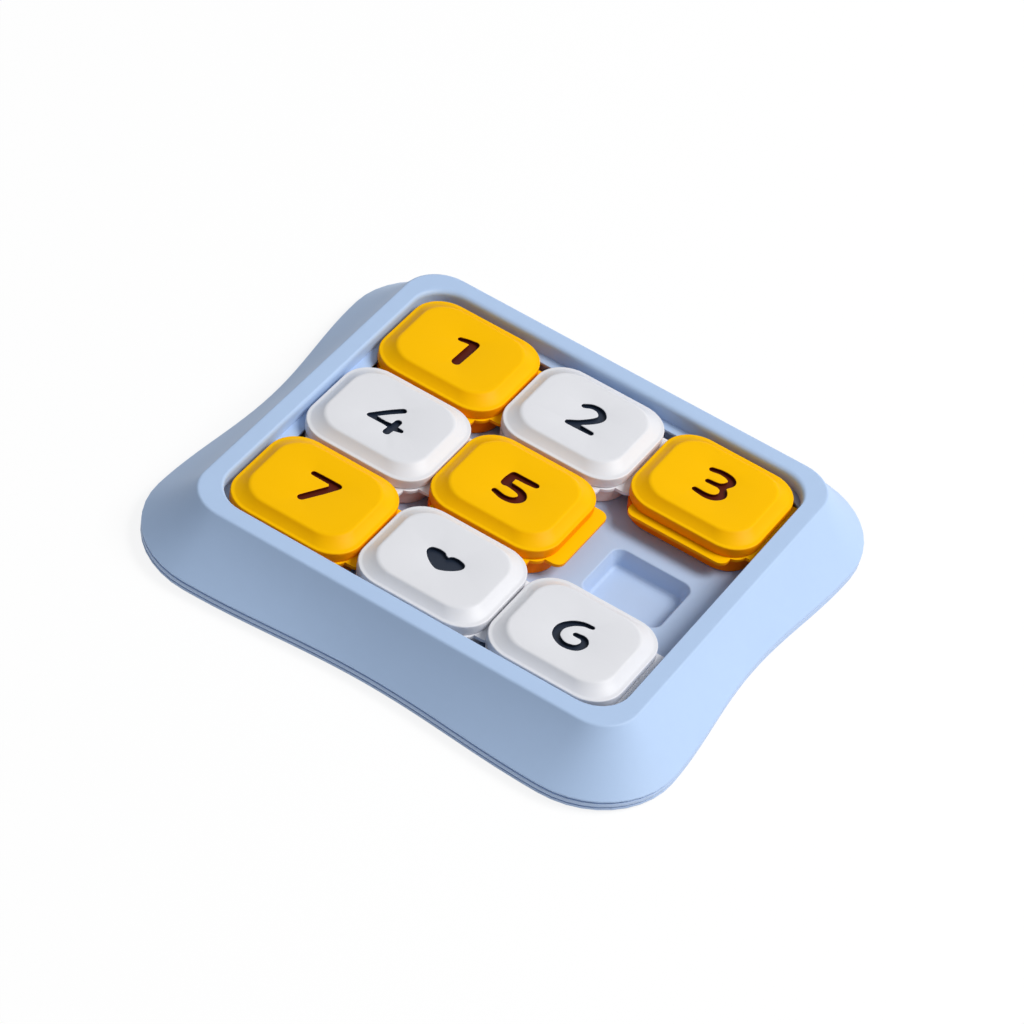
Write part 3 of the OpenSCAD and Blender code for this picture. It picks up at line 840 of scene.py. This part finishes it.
def cap_rows():
    """Wall, crest, hollow slope and the round edge of the top. The slope is an arc whose tilt grows
    from TILT_LOW at the crest to TILT_HIGH below the top; its radius follows from its rise."""
    rows = [(u, CAP_LOW + z) for u, z in CAP_FOOT_ROWS] + [(0.0, CAP_WALL_TOP)]
    rows += arc((CREST_R, CREST_Z - CREST_R), CREST_R, 180, 90, 6)
    low, high = math.radians(TILT_LOW), math.radians(TILT_HIGH)
    rise = CAP_TOP - TOP_EDGE_R * (1 - math.cos(high)) - CREST_Z
    r = rise / (math.cos(low) - math.cos(high))
    centre = (CREST_IN - r * math.sin(low), CREST_Z + r * math.cos(low))
    rows += arc(centre, r, TILT_LOW - 90, TILT_HIGH - 90, 10)
    centre = (rows[-1][0] + TOP_EDGE_R * math.sin(high), CAP_TOP - TOP_EDGE_R)
    rows += arc(centre, TOP_EDGE_R, 90 + TILT_HIGH, 90, 8)[1:]
    rows.append((rows[-1][0] + HOLD, CAP_TOP))
    return rows


def sink_number(bm, faces):
    """Presses the number's faces into the top: first over a round edge, then straight down."""
    whole = bmesh.ops.dissolve_faces(bm, faces=faces, use_verts=True)["region"][0]
    whole.material_index = 1
    bmesh.ops.remove_doubles(bm, verts=whole.verts[:], dist=NUMBER_STEP)
    floor = [face for face in bm.faces if face.material_index == 1]
    for face in floor:
        face.material_index = 0
    face_outwards(bm)
    turns = [math.pi / 2 * k / NUMBER_EDGE_STEPS for k in range(NUMBER_EDGE_STEPS + 1)]
    for a, b in zip(turns, turns[1:]):
        bmesh.ops.inset_region(bm, faces=floor, thickness=NUMBER_EDGE * (math.sin(b) - math.sin(a)),
                               depth=NUMBER_EDGE * (math.cos(b) - math.cos(a)), use_even_offset=True)
    made = bmesh.ops.extrude_face_region(bm, geom=floor)["geom"]
    bmesh.ops.delete(bm, geom=[f for f in floor if f.is_valid], context="FACES")
    sunk = [v for v in made if isinstance(v, bmesh.types.BMVert)]
    bmesh.ops.translate(bm, vec=(0, 0, NUMBER_EDGE - NUMBER_DEPTH), verts=sunk)
    # Painted shade: the number's sunk walls and floor take the dark second material, in place of the shade
    # in the hollow under a cut-through number.
    for face in {f for v in sunk for f in v.link_faces}:
        face.material_index = 1


def make_cap(name, middle, sign, finish, number_shade):
    """A hollow cap with its number sunk in."""
    bm = bmesh.new()
    rings = [cap_ring(bm, middle, u, z) for u, z in cap_rows()]
    skin(bm, rings)
    loop = ordered_points(rings[-1])
    number = fill_flat(bm, [loop], number_shapes(sign, middle), CAP_TOP)
    inner = [cap_ring(bm, middle, u, z) for u, z in CAP_INSIDE]
    skin(bm, [rings[0]] + inner)
    lid(bm, inner[-1])
    bmesh.ops.remove_doubles(bm, verts=bm.verts, dist=MERGE)
    sink_number(bm, [face for face in number if face.is_valid])
    finish_piece(bm, name + "_cover", name, [name + "_cap"], [finish, number_shade])


print("rings in a cap's outside:", len(cap_rows()))

# %% [markdown]
# ### Slide plate and base
# The slide plate is thin and set off towards +X and -Y, where it shows as a tongue with a rounded
# edge. The base under it is a shallow cup with a drafted wall and a round foot, so that it glides
# over the tray floor.

# %% Shape a slide plate and a base
PLATE_EDGE = 0.55
PLATE_R, TONGUE_R = 8.0, 5.0
TONGUE_REACH = (6.6, 4.7)
TONGUE_HALF = (24.5, 29.0)
SLOT_DEPTH = 7.5
TILE_WALL = 2.0
RIM_ANGLE = 1.2  # radians: the edges that get rounded turn more than this
# The cup's foot, its outside, its edge and its inside, as (inset, height)
BASE_ROWS = [(3.4, FLOOR_Z), (2.6, FLOOR_Z), (1.8, FLOOR_Z + 0.2), (1.25, FLOOR_Z + 0.7),
             (1.0, FLOOR_Z + 1.4), (0.95, FLOOR_Z + 2.0), (0.35, 23.3), (0.4, 23.75), (0.7, 24.0),
             (2.0, 24.0), (2.3, 23.8), (2.6, 17.6), (3.2, 17.0)]


def make_plate(name, middle, finish):
    """Three slabs in one outline: the core, the side tongue and the front tongue."""
    bm = bmesh.new()
    x, y = middle
    core = rounded_points((x + SLOT_DEPTH - TILE[0], y + TILE_WALL - TILE[1]),
                          (x + TILE[0] - TILE_WALL, y + TILE[1] - SLOT_DEPTH), PLATE_R)
    side = rounded_points((x, y - TONGUE_HALF[0]),
                          (x + TILE[0] + TONGUE_REACH[0], y + TONGUE_HALF[0]), TONGUE_R)
    front = rounded_points((x - TONGUE_HALF[1], y - TILE[1] - TONGUE_REACH[1]),
                           (x + TONGUE_HALF[1], y), TONGUE_R)
    fill_flat(bm, [core, side, front], [], TONGUE_Z)
    made = bmesh.ops.extrude_face_region(bm, geom=bm.faces[:])
    top = [v for v in made["geom"] if isinstance(v, bmesh.types.BMVert)]
    bmesh.ops.translate(bm, vec=(0, 0, TONGUE_TOP - TONGUE_Z), verts=top)
    bmesh.ops.recalc_face_normals(bm, faces=bm.faces)
    rim = [e for e in bm.edges if len(e.link_faces) == 2 and e.calc_face_angle() > RIM_ANGLE
           and abs(e.verts[0].co.z - e.verts[1].co.z) < FLAT_EPSILON]
    bmesh.ops.bevel(bm, geom=rim, offset=PLATE_EDGE, offset_type="OFFSET", segments=4, profile=0.5,
                    affect="EDGES", material=0, clamp_overlap=True)
    finish_piece(bm, name + "_tongue_plate", name, [name + "_slide_plate"], [finish])


def make_base(name, middle, finish):
    """A shallow cup, open at its top."""
    bm = bmesh.new()
    rings = [rounded_ring(bm, middle, (TILE[0] - u, TILE[1] - u), TILE[2] - u, z) for u, z in BASE_ROWS]
    skin(bm, rings)
    lid(bm, rings[0])
    lid(bm, rings[-1])
    finish_piece(bm, name + "_cup", name, [name + "_base"], [finish])


print("a tongue is", round(TONGUE_TOP - TONGUE_Z, 2), "mm thick and reaches", TONGUE_REACH)

# %% [markdown]
# ### Setting out the eight tiles
# Four yellow tiles and four white ones. Each tile's middle is read from its solid base, so the
# pieces follow the solids, also where a tile has been left a little off its cell's middle. The
# pegs inside a tile stay the solids that they are, and only take its plastic.

# %% Build the tiles
YELLOW_TILES = {"tile_1": "1", "tile_3": "3", "tile_5": "5", "tile_7": "7"}
WHITE_TILES = {"tile_2": "2", "tile_4": "4", "tile_heart": "heart", "tile_6": "6"}
# Each tile's cup takes a colour of painted shade and bounce light, and its number a colour of painted shade.
for tiles, slot, skin_finish, cup_shade_and_bounce, number_shade in (
        (YELLOW_TILES, "yellow_plastic", YELLOW, YELLOW_CUP_SHADE, NUMBER_SHADE_ON_YELLOW),
        (WHITE_TILES, "white_plastic", WHITE, WHITE_CUP_BOUNCE, NUMBER_SHADE_ON_WHITE)):
    for name, sign in tiles.items():
        low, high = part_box(name + "_base")
        middle = ((low[0] + high[0]) / 2 / MM, (low[1] + high[1]) / 2 / MM)
        make_cap(name, middle, sign, skin_finish, number_shade)
        make_plate(name, middle, skin_finish)
        make_base(name, middle, cup_shade_and_bounce)
        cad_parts[name + "_pegs"].material_slots[0].material = skin_finish

# %% [markdown]
# ## Screws
# Eight pan-head screws hold the frame to the tray from below. The cross in the head is two
# overlapping bars, merged in the same way as the strokes of a number and pressed in.

# %% Build the screws
HEAD_R, HEAD_LOW, HEAD_TOP = 3.0, 3.1, 5.0
SHANK_R, SHANK_TOP = 1.5, 14.0
# From the head's face round its edge and up the shank, as (radius, height)
SCREW_ROWS = [(2.0, HEAD_LOW), (2.5, HEAD_LOW + 0.12), (2.85, HEAD_LOW + 0.5), (HEAD_R, HEAD_LOW + 1.0),
              (HEAD_R, HEAD_TOP), (SHANK_R, HEAD_TOP), (SHANK_R, SHANK_TOP - 1.2), (0.5, SHANK_TOP)]
CROSS_LONG, CROSS_NARROW, CROSS_DEPTH = 1.5, 0.35, 1.0


def make_screws():
    """All eight screws, as one piece."""
    bm = bmesh.new()
    for x, y in SCREWS:
        rings = turned_rings(bm, (x, y), SCREW_ROWS, 32)
        skin(bm, rings)
        lid(bm, rings[-1])
        bars = [[(x - a, y - b), (x + a, y - b), (x + a, y + b), (x - a, y + b)]
                for a, b in ((CROSS_LONG, CROSS_NARROW), (CROSS_NARROW, CROSS_LONG))]
        cross = fill_flat(bm, [ordered_points(rings[0])], bars, HEAD_LOW)
        bmesh.ops.remove_doubles(bm, verts=bm.verts, dist=MERGE)
        made = bmesh.ops.extrude_face_region(bm, geom=cross)["geom"]
        bmesh.ops.delete(bm, geom=[f for f in cross if f.is_valid], context="FACES")
        sunk = [v for v in made if isinstance(v, bmesh.types.BMVert)]
        bmesh.ops.translate(bm, vec=(0, 0, CROSS_DEPTH), verts=sunk)
    finish_piece(bm, "pan_head_screws", "feeder", ["frame_screws"], [STEEL])


make_screws()

# %% [markdown]
# ## The floor
# The toy lies on a plain pale card. The card lights the toy from below as any pale table does. Where
# the camera sees it, it is nearly its own light, so that it stays white, and a share of the real card
# is left in so that the toy's shadow still falls on it.

# %% Lay the floor
FLOOR_HALF = 3.0
GLOW_STRENGTH = 1.02
GLOW_SHARE = 0.86


def seen_directly(finish):
    """1 on a ray that shows the background to the camera, also in a mirror or through glass."""
    path = finish.node("ShaderNodeLightPath")
    return path["Is Camera Ray"] + path["Is Glossy Ray"] + path["Is Transmission Ray"]


def floor_finish():
    """Card, mixed with its own light where the camera sees it."""
    finish = new_finish("pale_card")
    where = finish.node("ShaderNodeTexCoord")["Object"]
    tone = finish.blend(finish.noise(where, 3.0), (0.88, 0.88, 0.89, 1), (0.92, 0.92, 0.92, 1))
    card = finish.node("ShaderNodeBsdfDiffuse", None, {"Color": tone})["BSDF"]
    glow = finish.node("ShaderNodeEmission", None,
                       {"Color": (1, 1, 1, 1), "Strength": GLOW_STRENGTH})["Emission"]
    share = seen_directly(finish) * GLOW_SHARE
    return finish.close(finish.node("ShaderNodeMixShader", None, {0: share, 1: card, 2: glow})["Shader"])


bm = bmesh.new()
bmesh.ops.create_grid(bm, x_segments=8, y_segments=8, size=FLOOR_HALF)
floor_mesh = bpy.data.meshes.new("floor")
bm.to_mesh(floor_mesh)
bm.free()
floor = bpy.data.objects.new("floor", floor_mesh)
floor_mesh.materials.append(floor_finish())
bpy.context.scene.collection.objects.link(floor)
print("the floor is", 2 * FLOOR_HALF, "m wide")

# %% [markdown]
# ## The lamp and the sky
# One broad lamp hangs high at the back right and does most of the work, so the right side comes out
# bright and the near side falls off. Its size against its distance sets how soft the shadows are. The
# sky is an even pale dome that fills them in. Where the camera looks past the floor, the sky is plain
# white instead, without adding any light to the toy.

# %% Hang the lamp and the sky
LAMP_FROM = Vector((0.56, 0.29, 0.77)).normalized()
LAMP_DISTANCE = 5.0
LAMP_SIZE = 2.4
LAMP_WATTS = 232.0
SKY_STRENGTH = 0.31


def hang_lamp(name, towards, distance, size, watts, colour):
    """A square lamp that shines at the toy from far off."""
    light = bpy.data.lights.new(name, "AREA")
    light.size = size
    light.energy = watts
    light.color = colour
    lamp = bpy.data.objects.new(name, light)
    lamp.matrix_world = (Matrix.Translation(towards * distance)
                         @ towards.to_track_quat("Z", "Y").to_matrix().to_4x4())
    bpy.context.scene.collection.objects.link(lamp)
    print(name, "hangs at", [round(v, 2) for v in lamp.location])


def paint_sky():
    """A pale dome for the light, and white paper where the camera looks past the floor."""
    world = bpy.data.worlds.new("sky")
    bpy.context.scene.world = world
    finish = Finish(world)
    dome = finish.node("ShaderNodeBackground", None,
                       {"Color": (0.90, 0.95, 1.0, 1), "Strength": SKY_STRENGTH})["Background"]
    paper = finish.node("ShaderNodeBackground", None, {"Color": (1, 1, 1, 1), "Strength": 1.0})["Background"]
    shown = finish.node("ShaderNodeMixShader", None, {0: seen_directly(finish), 1: dome, 2: paper})
    finish.close(shown["Shader"], "ShaderNodeOutputWorld")


hang_lamp("side_lamp", LAMP_FROM, LAMP_DISTANCE, LAMP_SIZE, LAMP_WATTS, (1.0, 0.98, 0.95))
paint_sky()
bpy.context.scene.view_settings.view_transform = "Standard"
